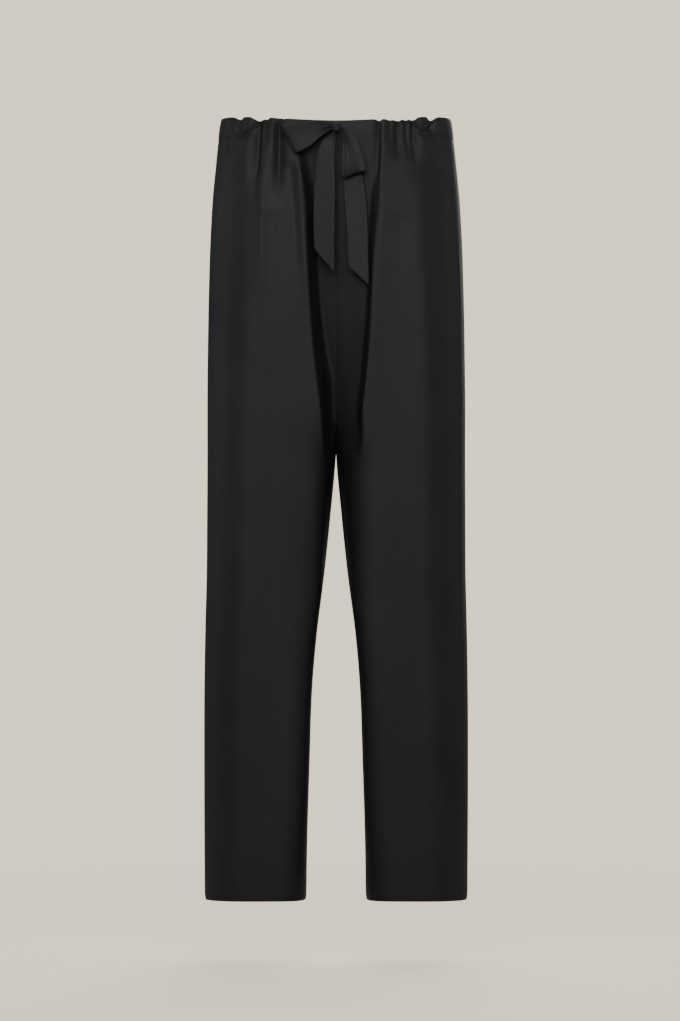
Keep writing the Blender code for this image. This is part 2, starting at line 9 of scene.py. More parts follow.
import bpy
import numpy as np
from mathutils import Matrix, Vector


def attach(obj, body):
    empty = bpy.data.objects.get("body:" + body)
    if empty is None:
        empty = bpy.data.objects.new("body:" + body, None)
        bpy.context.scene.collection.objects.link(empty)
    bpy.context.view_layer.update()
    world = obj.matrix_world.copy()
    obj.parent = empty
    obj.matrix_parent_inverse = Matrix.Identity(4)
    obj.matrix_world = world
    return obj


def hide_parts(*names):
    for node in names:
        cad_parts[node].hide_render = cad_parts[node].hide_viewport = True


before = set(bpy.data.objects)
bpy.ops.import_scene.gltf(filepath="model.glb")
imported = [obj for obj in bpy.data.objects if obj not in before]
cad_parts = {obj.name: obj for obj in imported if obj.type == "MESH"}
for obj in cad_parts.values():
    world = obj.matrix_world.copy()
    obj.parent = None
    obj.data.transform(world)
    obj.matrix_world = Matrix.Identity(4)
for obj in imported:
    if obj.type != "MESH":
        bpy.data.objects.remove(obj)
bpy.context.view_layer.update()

# Lengths down the garment, as in the solids
OUTSEAM = 1.055
CASING_HEIGHT = 0.028
RISE = 0.454
WAIST_TOP = CASING_HEIGHT / 2
FRONT_DIP = 0.0066
DIP_REACH = 0.30

# Cloth, and the flat width and length of each cut piece
CLOTH = 0.0009
HEM_HEIGHT = 0.024
HEM_START = 0.0012
HEM_ROUND = 0.004
CASING_CHANNEL = 0.0020
CASING_ROWS = 22
CASING_TURN = 11
RIBBON_CLOTH = 0.0008
TIE_WIDTH = 0.027

# Girth: a row for each level. Outer and inner are the leg's edges seen from the front, front and back are
# the depths of the two halves, and crest is where each half is deepest.
LEVEL_COLUMNS = ("drop", "outer", "inner", "front", "back", "crest")
LEVELS = (
    (0.000, 0.1559, 0.0000, 0.0985, 0.100, 0.020),
    (0.028, 0.1596, 0.0000, 0.1010, 0.104, 0.022),
    (0.060, 0.1629, 0.0000, 0.1060, 0.111, 0.027),
    (0.105, 0.1674, 0.0000, 0.1110, 0.122, 0.036),
    (0.160, 0.1706, 0.0000, 0.1130, 0.132, 0.048),
    (0.230, 0.1728, 0.0000, 0.1125, 0.136, 0.062),
    (0.310, 0.1742, 0.0000, 0.1095, 0.131, 0.076),
    (0.390, 0.1749, 0.0000, 0.1060, 0.121, 0.085),
    (0.454, 0.1748, 0.0004, 0.1030, 0.112, 0.087),
    (0.534, 0.1751, 0.0072, 0.1000, 0.104, 0.0905),
    (0.614, 0.1756, 0.0158, 0.0970, 0.099, 0.095),
    (0.694, 0.1776, 0.0262, 0.0940, 0.095, 0.101),
    (0.774, 0.1789, 0.0328, 0.0910, 0.092, 0.105),
    (0.874, 0.1792, 0.0364, 0.0880, 0.089, 0.107),
    (0.974, 0.1789, 0.0394, 0.0865, 0.087, 0.1085),
    (1.055, 0.1784, 0.0406, 0.0855, 0.086, 0.1090),
)
ROUNDNESS = 2.7
INNER_ROUNDNESS = 6.0
HEM_ROUNDNESS = 3.6
HEM_FORM_LENGTH = 0.20
LEG_FORM_REACH = 0.070

# The hollow between the legs: where its edge runs on each side, and how far its floor lies behind the cloth
# beside it. Below the crotch it has no floor, and its edge runs on as the front or back corner of each leg.
RECESS_COLUMNS = (
    "drop", "right_edge", "right_flank", "left_edge", "front_depth", "back_edge", "back_depth"
)
RECESS = (
    (0.000, 0.058, 0.016, 0.060, 0.000, 0.030, 0.000),
    (0.028, 0.055, 0.016, 0.060, 0.004, 0.030, 0.001),
    (0.060, 0.050, 0.016, 0.060, 0.013, 0.030, 0.002),
    (0.105, 0.043, 0.016, 0.055, 0.024, 0.030, 0.003),
    (0.160, 0.041, 0.016, 0.052, 0.032, 0.031, 0.004),
    (0.230, 0.037, 0.016, 0.049, 0.041, 0.032, 0.007),
    (0.310, 0.031, 0.020, 0.044, 0.050, 0.030, 0.014),
    (0.370, 0.024, 0.026, 0.038, 0.061, 0.027, 0.026),
    (0.420, 0.0175, 0.026, 0.0305, 0.074, 0.024, 0.042),
    (0.454, 0.0145, 0.026, 0.0245, 0.084, 0.022, 0.055),
    (0.520, 0.0160, 0.026, 0.0225, 0.084, 0.022, 0.055),
    (0.600, 0.0185, 0.026, 0.0215, 0.084, 0.022, 0.055),
)
LEFT_FLANK = 0.008
BACK_FLANK = 0.024
FLANK_SHARE = 0.9
FLANK_LEAN = 0.80
RIGHT_TILT = 0.26
LEFT_TILT = -0.45

# Main folds of the front: x at the top and at the low end, drops of both ends, height and width. A height
# below nought is a trough and one above it a ridge.
FRONT_FOLDS = (
    (-0.1318, -0.1290, -0.010, 0.030, -0.0062, 0.0058),
    (-0.1046, -0.1100, -0.010, 0.120, -0.0098, 0.0062),
    (-0.0985, -0.1000, 0.010, 0.300, 0.0034, 0.0060),
    (-0.0935, -0.0985, -0.010, 0.052, -0.0042, 0.0042),
    (-0.0850, -0.0845, -0.010, 0.100, 0.0026, 0.0054),
    (-0.0768, -0.0782, -0.003, 0.118, -0.0096, 0.0060),
    (-0.0620, -0.0480, 0.050, 0.260, -0.0028, 0.0080),
    (-0.0500, -0.0375, 0.050, 0.300, 0.0030, 0.0060),
    (0.0577, 0.0500, -0.010, 0.200, -0.0040, 0.0034),
    (0.0640, 0.0520, 0.000, 0.330, 0.0014, 0.0070),
    (0.0720, 0.0725, -0.010, 0.046, -0.0036, 0.0054),
    (0.0838, 0.0838, -0.010, 0.070, -0.0066, 0.0056),
    (0.0945, 0.0985, -0.010, 0.060, -0.0056, 0.0048),
    (0.1045, 0.1075, -0.010, 0.072, -0.0060, 0.0050),
    (0.1300, 0.1310, -0.012, 0.030, -0.0075, 0.0056),
    (0.1290, 0.1330, 0.060, 0.260, -0.0022, 0.0090),
)

# Bowed hollows between two gathers: middle x, drop, reach to each side, curl, lean, depth and half height
FRONT_SWAGS = (
    (-0.1235, 0.0240, 0.0165, 0.0120, 0.00, 0.0040, 0.0050),
    (-0.1455, 0.0360, 0.0080, 0.0000, 0.00, 0.0038, 0.0110),
    (0.1200, 0.0212, 0.0165, 0.0125, 0.00, 0.0038, 0.0050),
    (0.1465, 0.0340, 0.0110, 0.0000, 0.60, 0.0026, 0.0075),
)

# The drop where the gathers of the back and the crinkles start, and the gathers' number and mean sizes
FOLD_TOP = -0.010
BACK_GATHERS = 9
BACK_GATHER_FIRST = 0.010
BACK_GATHER_STEP = 0.0150
BACK_GATHER_DEPTH = 0.0050
BACK_GATHER_LENGTH = 0.075
BACK_GATHER_WIDTH = 0.0055

# Broad soft drapes down the legs, front and back, in the columns of the front's folds
DRAPES = (
    (0.1180, 0.1250, 0.080, 1.300, 0.0022, 0.0200),
    (0.0860, 0.0960, 0.120, 1.300, -0.0016, 0.0160),
)

# How the folds fade, and what they do at the casing's top edge and near the crotch
PUFF_RISE = 0.0014
NOTCH_SHARE = 0.80
NOTCH_START = 0.003
INNER_CALM = 0.030
CALM_START = 0.30
CALM_LENGTH = 0.12
FADE_IN = 0.020
FOLD_SPREAD = 0.8
PUFF_SHARE = 0.12

# Shares of a panel's columns up to the hollow's edge and to the foot of its flank
LANDMARKS = {"front": (0.0, 0.70, 0.85, 1.0), "back": (0.0, 0.85, 0.95, 1.0)}
LANDMARK_FADE = 0.25

# Fine crinkles under the casing, which only show close by. The front has none this near to the bow.
CRINKLES = 15
CRINKLE_FIRST = 0.008
CRINKLE_STEP = 0.0092
CRINKLE_FREE = {-1: 0.070, 1: 0.062}
CRINKLE_DEPTH = 0.0013
CRINKLE_WIDTH = 0.0024
CRINKLE_LENGTH = 0.034
SEAM_GROOVE = 0.00008
SEAM_WIDTH = 0.0016
CASING_SWELL = 0.0007
WAVER = 0.00032
WAVER_START = 0.05
WAVER_FADE = 0.12

# Fineness of the cloth walls
COLUMNS = 176
SECTION_POINTS = 241
SMALLEST_LENGTH = 1e-14
TOP_ROWS = 92
TOP_END = 0.20
LEG_ROW_COUNT = 126

# The tie, a row for each rib of the strip from the knot out: x and z of edge a, x and z of edge b, and how
# far each edge stands in front of the waist's middle
TAIL_RIGHT = (
    (-0.0050, -0.0070, -0.0004, -0.0068, 0.1060, 0.1060),
    (-0.0170, -0.0190, -0.0012, -0.0200, 0.1085, 0.1095),
    (-0.0250, -0.0400, -0.0022, -0.0430, 0.1095, 0.1110),
    (-0.0290, -0.0880, -0.0018, -0.0880, 0.1085, 0.1105),
    (-0.0302, -0.1260, -0.0024, -0.1340, 0.1075, 0.1090),
    (-0.0290, -0.1634, -0.0024, -0.1953, 0.1060, 0.1070),
)
TAIL_LEFT = (
    (0.0010, -0.0070, 0.0050, -0.0068, 0.1045, 0.1045),
    (0.0040, -0.0260, 0.0190, -0.0230, 0.1050, 0.1050),
    (0.0078, -0.0520, 0.0310, -0.0490, 0.1045, 0.1050),
    (0.0109, -0.0848, 0.0384, -0.0860, 0.1045, 0.1050),
    (0.0140, -0.1250, 0.0420, -0.1340, 0.1050, 0.1060),
    (0.0176, -0.1873, 0.0440, -0.2126, 0.1060, 0.1065),
)
LOOP_RIGHT = (
    (-0.0060, 0.0034, -0.0060, -0.0036, 0.1085, 0.1085),
    (-0.0240, 0.0068, -0.0200, -0.0140, 0.1165, 0.1160),
    (-0.0450, 0.0050, -0.0345, -0.0262, 0.1190, 0.1180),
    (-0.0650, 0.0010, -0.0495, -0.0340, 0.1180, 0.1170),
    (-0.0750, 0.0020, -0.0550, -0.0340, 0.1150, 0.1145),
    (-0.0710, 0.0045, -0.0555, -0.0290, 0.1118, 0.1120),
    (-0.0480, 0.0066, -0.0400, -0.0220, 0.1100, 0.1110),
    (-0.0240, 0.0066, -0.0220, -0.0110, 0.1080, 0.1095),
    (-0.0060, 0.0032, -0.0060, -0.0034, 0.1060, 0.1062),
)
LOOP_LEFT = (
    (0.0040, -0.0050, 0.0058, -0.0020, 0.1085, 0.1085),
    (0.0076, -0.0250, 0.0190, -0.0225, 0.1170, 0.1175),
    (0.0074, -0.0460, 0.0262, -0.0430, 0.1195, 0.1200),
    (0.0078, -0.0640, 0.0325, -0.0585, 0.1180, 0.1185),
    (0.0118, -0.0695, 0.0375, -0.0605, 0.1150, 0.1155),
    (0.0145, -0.0650, 0.0395, -0.0550, 0.1120, 0.1125),
    (0.0140, -0.0430, 0.0345, -0.0345, 0.1105, 0.1110),
    (0.0128, -0.0210, 0.0265, -0.0135, 0.1090, 0.1095),
    (0.0058, -0.0035, 0.0060, 0.0015, 0.1062, 0.1064),
)
RIBBONS = (
    ("tail_right", TAIL_RIGHT, "hung", 0.190),
    ("tail_left", TAIL_LEFT, "hung", 0.205),
    ("loop_right", LOOP_RIGHT, "folded", 0.125),
    ("loop_left", LOOP_LEFT, "folded", 0.122),
)
RIB_STEPS = 14
RIB_WIDTH = 25
PLEATS = 1.6
PLEAT_DEPTH = 0.0011
RIBBON_CROWN = 0.0010
KNOT_HALF = (0.0078, 0.0062, 0.0080)
KNOT_HEIGHT = -0.0010
KNOT_SQUARE = 2.2
KNOT_OFF = 0.0003
KNOT_RINGS = 40
KNOT_SIDES = 64
KNOT_GROOVES = (0.11, 0.07)
KNOT_RIDGES = (0.030, 0.022)

# Stitches
STITCH_LENGTH = 0.0022
STITCH_STEP = 0.0031
STITCH_RADIUS = 0.00018
STITCH_RINGS = 6
STITCH_SIDES = 6
SEWN_DROPS = {"casing": CASING_HEIGHT - 0.0022, "hem": OUTSEAM - HEM_HEIGHT + 0.0015}
SEWN_PROBE = 0.001

# Colour and roughness
SATIN = ((0.0165, 0.0165, 0.0168), 0.64)
TIE_SATIN = ((0.0155, 0.0155, 0.0158), 0.62)
THREAD = ((0.012, 0.012, 0.013), 0.55)
FLOOR = ((0.55, 0.52, 0.46), 0.9)
TONE_RANGE = (0.82, 1.18)
ROUGHNESS_RANGE = 0.05

# Floor and surround
FLOOR_Z = -1.12
FLOOR_RADIUS = 3.0
FLOOR_SIDES = 64
FLOOR_FADE = (0.5, 2.4)
FLOOR_GLOW = 0.62
SURROUND = (1.40, 1.27, 0.93, 1.0)
AMBIENT = 0.11
AMBIENT_COLOUR = (0.94, 0.97, 1.0, 1.0)

# Softboxes: name, place, target, width and height, and power. The beam is each one's cone in degrees.
LIGHTS = (
    ("front_box", (-0.2, -3.6, 1.2), (0.0, 0.0, 0.15), (3.0, 2.0), 20.0),
    ("left_box", (-3.6, 0.9, 0.5), (0.0, 0.0, -0.10), (2.0, 2.0), 3.2),
    ("right_box", (3.6, 0.9, 0.5), (0.0, 0.0, -0.10), (2.0, 2.0), 2.4),
    ("back_box", (0.4, 4.0, 1.2), (0.0, 0.0, -0.10), (3.0, 2.0), 32.0),
)
BEAM = 56

# The photograph's camera, with a flat far view
VIEW_DISTANCE = 9.0
VIEW_HEIGHT = 1.3853
VIEW_X = 0.0053
VIEW_Z = -0.515
LONG_SIDE = 0.036


def table(columns, rows):
    """The table's columns by name, as arrays."""
    return dict(zip(columns, np.array(rows, float).T))


LEVEL = table(LEVEL_COLUMNS, LEVELS)
HOLLOW = table(RECESS_COLUMNS, RECESS)


def smooth_curve(xs, ys, x):
    """A smooth line through the points of a table, read at x. It keeps level past both ends."""
    xs, ys = np.asarray(xs), np.asarray(ys)
    x = np.clip(x, xs[0], xs[-1])
    slopes = np.gradient(ys, xs)
    i = np.clip(np.searchsorted(xs, x, side="right") - 1, 0, len(xs) - 2)
    span = xs[i + 1] - xs[i]
    t = (x - xs[i]) / span
    start = (2 * t**3 - 3 * t**2 + 1) * ys[i] + (t**3 - 2 * t**2 + t) * span * slopes[i]
    end = (-2 * t**3 + 3 * t**2) * ys[i + 1] + (t**3 - t**2) * span * slopes[i + 1]
    return start + end


def ease(t):
    """Nought to one with level ends."""
    t = np.clip(t, 0.0, 1.0)
    return t * t * (3.0 - 2.0 * t)


def level(column, drop):
    """A measure of the girth table at a drop."""
    return float(smooth_curve(LEVEL["drop"], LEVEL[column], drop))


def hollow(column, drop):
    """A measure of the table of the hollow between the legs at a drop."""
    return float(smooth_curve(HOLLOW["drop"], HOLLOW[column], drop))


def leg_share(drop, along):
    """Nought where the cloth spans both legs, one from the crotch down, where each leg is a tube."""
    t = np.clip((drop - (RISE - LEG_FORM_REACH)) / LEG_FORM_REACH, 0.0, 1.0)
    seam = 1.0 - math.sqrt(1.0 - t * t)
    return ease(t) + (seam - ease(t)) * np.asarray(along) ** 3


def recess_shape(side, face, drop):
    """The hollow's edge, flank width, depth and floor tilt on one panel."""
    if face == "back":
        return hollow("back_edge", drop), BACK_FLANK, hollow("back_depth", drop), 0.0
    edge = hollow("right_edge" if side < 0 else "left_edge", drop)
    flank = min(hollow("right_flank", drop) if side < 0 else LEFT_FLANK, FLANK_SHARE * edge)
    return edge, flank, hollow("front_depth", drop), RIGHT_TILT if side < 0 else LEFT_TILT


def recess_at(side, face, drop, x):
    """How far the hollow between the legs sets the cloth back at a distance x from the middle."""
    edge, flank, depth, tilt = recess_shape(side, face, drop)
    slope = 1.0 + tilt * np.clip(x / edge, 0.0, 1.0)
    into = np.clip((edge - x) / min(flank, FLANK_SHARE * edge), 0.0, 1.0)
    return depth * slope * ease(into ** (FLANK_LEAN if face == "front" else 1.0))


def section(side, face, drop):
    """Points (x, depth) of a panel's section from the side seam in, and their x before the leg forms."""
    outer, inner, crest, deep = (level(c, drop) for c in ("outer", "inner", "crest", face))
    power = 2.0 / ROUNDNESS
    turn = np.linspace(0.0, math.pi / 2, SECTION_POINTS)
    x_outer = crest + (outer - crest) * np.cos(turn).clip(0.0) ** power
    depth_outer = deep * np.sin(turn) ** power
    along = np.linspace(0.0, 1.0, SECTION_POINTS)[1:]
    near_hem = ease(1.0 - (OUTSEAM - drop) / HEM_FORM_LENGTH)
    roundness = INNER_ROUNDNESS + (HEM_ROUNDNESS - INNER_ROUNDNESS) * near_hem
    inner_turn = math.pi / 2 * along ** (roundness / 2)
    share_deep = np.cos(inner_turn).clip(0.0) ** (2.0 / roundness)
    depth_leg = deep * share_deep
    corner = max(recess_shape(side, face, drop)[0], inner)
    x_leg = crest - (crest - corner) * np.sin(inner_turn) ** (2.0 / roundness)
    x_leg -= (corner - inner) * (1.0 - share_deep)
    x_body = crest * (1.0 - along)
    share = leg_share(drop, along)
    depth_body = deep - recess_at(side, face, drop, x_body)
    depth_outer = depth_outer - recess_at(side, face, drop, x_outer) * (1.0 - leg_share(drop, 0.0))
    x = np.concatenate([x_outer, x_body + (x_leg - x_body) * share])
    depth = np.concatenate([depth_outer, depth_body + (depth_leg - depth_body) * share])
    return x, depth, np.concatenate([x_outer, x_body])


def places(columns, side, face, drop, arc, x_plan):
    """Where the columns stand along a section: evenly between its landmarks above the crotch."""
    edge, flank, depth, tilt = recess_shape(side, face, drop)
    crest = SECTION_POINTS - 1
    level_arc = np.concatenate([arc[:crest], arc[crest] + x_plan[crest] - x_plan[crest:]])
    at_edge = np.interp(-edge, -x_plan, level_arc)
    slope_length = math.hypot(flank, depth * (1.0 + tilt))
    at_foot = at_edge + (arc[-1] - at_edge) * slope_length / (slope_length + edge - flank)
    marks = np.array([0.0, at_edge, at_foot, arc[-1]])
    even = np.array(LANDMARKS[face]) * arc[-1]
    marks += (even - marks) * ease((drop - RISE) / LANDMARK_FADE)
    return np.interp(columns, LANDMARKS[face], marks)


def back_folds():
    """The back's gathers, whose sizes vary as the front's do."""
    rows = []
    for side in (-1, 1):
        for i in range(BACK_GATHERS):
            vary = math.sin(2.4 * i + 0.9 * side)
            x = side * (BACK_GATHER_FIRST + BACK_GATHER_STEP * (i + 0.22 * vary))
            length = BACK_GATHER_LENGTH * (1.0 + 0.6 * math.sin(1.7 * i + side))
            depth = BACK_GATHER_DEPTH * (1.0 + 0.4 * vary)
            rows.append((x, 1.02 * x, FOLD_TOP, length, -depth, BACK_GATHER_WIDTH))
    return tuple(rows)


def crinkles(side, face):
    """Small shallow folds between the gathers, of uneven length, depth and spacing."""
    rows = []
    phase = 1.3 * side + (0.0 if face == "front" else 2.1)
    for i in range(CRINKLES):
        wander = math.sin(3.7 * i + phase)
        x = CRINKLE_FIRST + CRINKLE_STEP * (i + 0.35 * wander)
        if face == "front" and x < CRINKLE_FREE[side]:
            continue
        size = 0.65 + 0.35 * math.sin(5.1 * i + 2.0 * phase)
        length = CRINKLE_LENGTH * (0.7 + 0.5 * math.sin(2.3 * i + phase))
        low = x + 0.004 * math.sin(4.1 * i - phase)
        sign = -1.0 if i % 3 else 0.7
        rows.append((side * x, side * low, FOLD_TOP, length, sign * CRINKLE_DEPTH * size, CRINKLE_WIDTH))
    return rows


def folds_on(side, face):
    """All the folds of one panel."""
    rows = [r for r in (FRONT_FOLDS if face == "front" else back_folds()) if r[0] * side > 0]
    rows += crinkles(side, face)
    rows += [(side * top, side * low, *rest) for top, low, *rest in DRAPES]
    return rows


FOLDS = {(side, face): folds_on(side, face) for side in (-1, 1) for face in ("front", "back")}


def fades(drop, start, end):
    """A fold's strength at a drop: it comes in over 20 mm and dies away over its last half."""
    rise = ease((drop - start) / FADE_IN)
    fall = 1.0 - ease((drop - (start + end) / 2) / ((end - start) / 2))
    return rise * fall


def swags_at(side, drop, x, arc):
    """How far the bowed hollows of the front pull the cloth in, with a slight puff above each."""
    pull = np.zeros_like(arc)
    for middle, low, reach, curl, lean, depth, half_height in FRONT_SWAGS:
        if middle * side > 0:
            outward = (np.interp(abs(middle), x[::-1], arc[::-1]) - arc) / reach
            line = low + lean * reach * outward - curl * np.minimum(outward**2, 1.5)
            above = (line - drop) / half_height
            across = np.exp(-(outward**4))
            pull += depth * across * (np.exp(-(above**2)) - PUFF_SHARE * np.exp(-((above / 1.6 - 1.4) ** 2)))
    return pull


def push_at(side, face, drop, x, arc):
    """How far the folds move the cloth out at each point of a section."""
    push = np.zeros_like(arc)
    for top, low, start, end, height, width in FOLDS[side, face]:
        strength = fades(drop, start, end)
        if strength == 0.0:
            continue
        t = min(max((drop - max(start, 0.0)) / (end - max(start, 0.0)), 0.0), 1.0)
        arc_fold = np.interp(abs(top + (low - top) * t), x[::-1], arc[::-1])
        away = np.abs(arc - arc_fold) / (width * (1.0 + FOLD_SPREAD * t))
        push += height * strength * np.exp(-(away**1.5))
    if face == "front":
        push -= swags_at(side, drop, x, arc)
    near_crotch = ease((drop - CALM_START) / CALM_LENGTH)
    from_inner = ease((arc[-1] - arc) / INNER_CALM)
    return push * (1.0 - near_crotch * (1.0 - from_inner))


def soft_waver(side, face, drop, arc):
    """The slight unevenness of hanging satin: long shallow streaks that wander down the leg."""
    phase = 2.2 * side + (0.7 if face == "back" else 0.0)
    wander = 0.6 * math.sin(6.0 * drop + phase)
    streaks = np.sin(95.0 * arc + wander + phase) + 0.6 * np.sin(173.0 * arc - 1.7 * wander + 2.0 * phase)
    return WAVER * streaks * ease((drop - WAVER_START) / WAVER_FADE)


def cloth_row(side, face, drop, columns):
    """One row of a panel's outside: points (x, y, z), and how far the folds move each."""
    x, depth, x_plan = section(side, face, drop)
    arc = np.concatenate([[0.0], np.cumsum(np.hypot(np.diff(x), np.diff(depth)))])
    push = push_at(side, face, drop, x, arc)
    swell = CASING_SWELL * math.sin(math.pi * min(drop / CASING_HEIGHT, 1.0))
    seam = np.exp(-((arc / SEAM_WIDTH) ** 2)) + np.exp(-(((arc[-1] - arc) / SEAM_WIDTH) ** 2))
    fine = push + soft_waver(side, face, drop, arc) + swell - SEAM_GROOVE * seam
    run = arc + 1e-9 * np.arange(len(arc))
    tangent_x, tangent_d = np.gradient(x, run), np.gradient(depth, run)
    size = np.hypot(tangent_x, tangent_d)
    # The way out of the section is a quarter turn from its tangent.
    x_out, depth_out = tangent_d / size, -tangent_x / size
    x, depth = x + x_out * fine, depth + depth_out * fine
    wanted = places(columns, side, face, drop, arc, x_plan)
    x_row, depth_row, push_row = (np.interp(wanted, arc, v) for v in (x, depth, push))
    forward = -1.0 if face == "front" else 1.0
    dip = FRONT_DIP * (1.0 - ease(x_row / level("outer", drop))) if face == "front" else 0.0
    fade = (1.0 - ease(drop / DIP_REACH)) if drop < DIP_REACH else 0.0
    z = WAIST_TOP - drop - dip * fade
    return np.stack([side * x_row, forward * depth_row, z + 0.0 * x_row], axis=1), push_row


def all_grids(drops, columns):
    """The outside points of the four panels at these drops."""
    return {
        (side, face): np.array([cloth_row(side, face, d, columns)[0] for d in drops])
        for side in (-1, 1)
        for face in ("front", "back")
    }


def facing(side, face):
    """One where a panel's rows and columns wind outwards, and minus one where they wind inwards."""
    return side * (1 if face == "front" else -1)


def normals_of(grids, side, face, drops):
    """Outward normals of a panel's rows. Across a seam they follow the cloth of the next panel."""
    grid, other_face = grids[side, face], grids[side, "back" if face == "front" else "front"]
    other_side = grids[-side, face]
    joined = np.array([d < RISE for d in drops])
    past_inner = np.where(joined[:, None], other_side[:, -2], other_face[:, -2])
    wide = np.concatenate([other_face[:, 1:2], grid, past_inner[:, None]], axis=1)
    along = wide[:, 2:] - wide[:, :-2]
    down = np.empty_like(grid)
    down[1:-1] = grid[2:] - grid[:-2]
    down[0], down[-1] = grid[1] - grid[0], grid[-1] - grid[-2]
    normal = np.cross(along, down) * facing(side, face)
    length = np.linalg.norm(normal, axis=2, keepdims=True)
    return normal / np.maximum(length, SMALLEST_LENGTH)


def finish_cloth(thing, replaced):
    """Ties a piece to the frame that carries it, and hides the solid that it stands for."""
    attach(thing, "root")
    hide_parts(replaced)


def make_mesh(name, points, faces, material, smooth_angle=60):
    """A named object from points and faces."""
    mesh = bpy.data.meshes.new(name)
    mesh.from_pydata(np.asarray(points, float).tolist(), [], [tuple(map(int, f)) for f in faces])
    mesh.materials.append(material)
    mesh.shade_smooth()
    mesh.set_sharp_from_angle(angle=math.radians(smooth_angle))
    mesh.update()
    thing = bpy.data.objects.new(name, mesh)
    bpy.context.scene.collection.objects.link(thing)
    return thing


def grid_faces(rows, columns, flip):
    """Quads of a grid of points stored row by row."""
    r, c = np.meshgrid(np.arange(rows - 1), np.arange(columns - 1), indexing="ij")
    a = (r * columns + c).ravel()
    quads = np.stack([a, a + 1, a + columns + 1, a + columns], axis=1)
    return quads[:, ::-1] if flip else quads


def wall(name, outside, inside, flip, material):
    """A closed wall of cloth from its outside and inside grids, rimmed on all four edges."""
    rows, columns = outside.shape[:2]
    count = rows * columns
    index = np.arange(count).reshape(rows, columns)
    ring = np.concatenate([index[0], index[1:, -1], index[-1, -2::-1], index[-2:0:-1, 0]])
    after = np.roll(ring, -1)
    rim = np.stack([after, ring, ring + count, after + count], axis=1)
    front = grid_faces(rows, columns, flip)
    back = grid_faces(rows, columns, not flip) + count
    faces = np.concatenate([front, back, rim[:, ::-1] if flip else rim])
    points = np.concatenate([outside.reshape(-1, 3), inside.reshape(-1, 3)])
    return make_mesh(name, points, faces, material)


def panel_drops():
    """Drops of a leg panel's rows, close together under the casing."""
    top = np.linspace(0.0, 1.0, TOP_ROWS)
    upper = CASING_HEIGHT + (TOP_END - CASING_HEIGHT) * (0.6 * top + 0.4 * top**2)
    lower = TOP_END + (OUTSEAM - TOP_END) * np.linspace(0.0, 1.0, LEG_ROW_COUNT)[1:]
    return np.concatenate([upper, lower])


def leg_panel(side, face, grids, drops, material):
    """One leg panel as a fine wall. Its hem is turned up: the wall is double there and round at the fold."""
    hand = "right" if side < 0 else "left"
    outside = grids[side, face].copy()
    normals = normals_of(grids, side, face, drops)
    turned = ease((drops - (OUTSEAM - HEM_HEIGHT)) / HEM_START)
    thickness = CLOTH * (1.0 + turned)
    inside = outside - normals * thickness[:, None, None]
    fold = np.clip((drops - (OUTSEAM - HEM_ROUND)) / HEM_ROUND, 0.0, 1.0)
    tuck = CLOTH * (1.0 - np.sqrt(1.0 - fold**2))
    outside -= normals * tuck[:, None, None]
    inside += normals * tuck[:, None, None]
    thing = wall(f"cloth_{face}_{hand}", outside, inside, facing(side, face) > 0, material)
    finish_cloth(thing, f"{face}_{hand}_leg")


def casing_path():
    """The folded casing's outline: drop from its top edge, and distance in from the outside of the cloth."""
    full = 2 * CLOTH + CASING_CHANNEL
    half = full / 2
    down = np.linspace(CASING_HEIGHT, half, CASING_ROWS)
    turn = np.linspace(0.0, math.pi, CASING_TURN)[1:-1]
    outer = [(d, 0.0) for d in down]
    over = [(half * (1.0 - math.sin(a)), half * (1.0 - math.cos(a))) for a in turn]
    inner = [(d, full) for d in down[::-1]]
    return outer + over + inner


def casing(face, columns, material):
    """The casing's front or back length as a hairpin of cloth, open below, from side seam to side seam."""
    path = casing_path()
    drops = sorted({d for d, _ in path} | {CASING_HEIGHT / 2, 2 * CASING_HEIGHT})
    grids = all_grids(drops, columns)
    row_of = {d: i for i, d in enumerate(drops)}
    middle = row_of[CASING_HEIGHT / 2]
    halves = []
    for side in (-1, 1):
        out = normals_of(grids, side, face, drops)[middle] * (1.0, 1.0, 0.0)
        out = out / np.linalg.norm(out, axis=1, keepdims=True)
        _, push = cloth_row(side, face, 0.0, columns)
        puffs = np.where(push < 0, NOTCH_SHARE * push, 0.0) + PUFF_RISE * (1.0 - ease(-push / NOTCH_START))
        rows = []
        for drop, inward in path:
            lift = puffs * (1.0 - drop / CASING_HEIGHT)
            rows.append(grids[side, face][row_of[drop]] - out * inward + np.outer(lift, (0.0, 0.0, 1.0)))
        halves.append(np.array(rows))
    right, left = halves
    outside = np.concatenate([right, left[:, ::-1][:, 1:]], axis=1)
    centre = outside.mean(axis=0, keepdims=True)
    way = outside - centre
    way[..., 2] = np.where(np.abs(way[..., 2]) > 0.5 * CASING_HEIGHT - 0.004, way[..., 2], 0.0)
    along = np.gradient(outside, axis=1)
    down = np.gradient(outside, axis=0)
    normal = np.cross(along, down)
    normal = normal / np.linalg.norm(normal, axis=2, keepdims=True)
    if (normal * way).sum(axis=2).mean() < 0:
        normal = -normal
    inside = outside - normal * CLOTH
    thing = wall(f"cloth_casing_{face}", outside, inside, face == "back", material)
    finish_cloth(thing, f"casing_{face}")


def node(tree, kind, **values):
    """A shader node with values on its inputs by name or attributes by name."""
    made = tree.nodes.new(kind)
    for key, value in values.items():
        if key in made.inputs:
            made.inputs[key].default_value = value
        else:
            setattr(made, key, value)
    return made


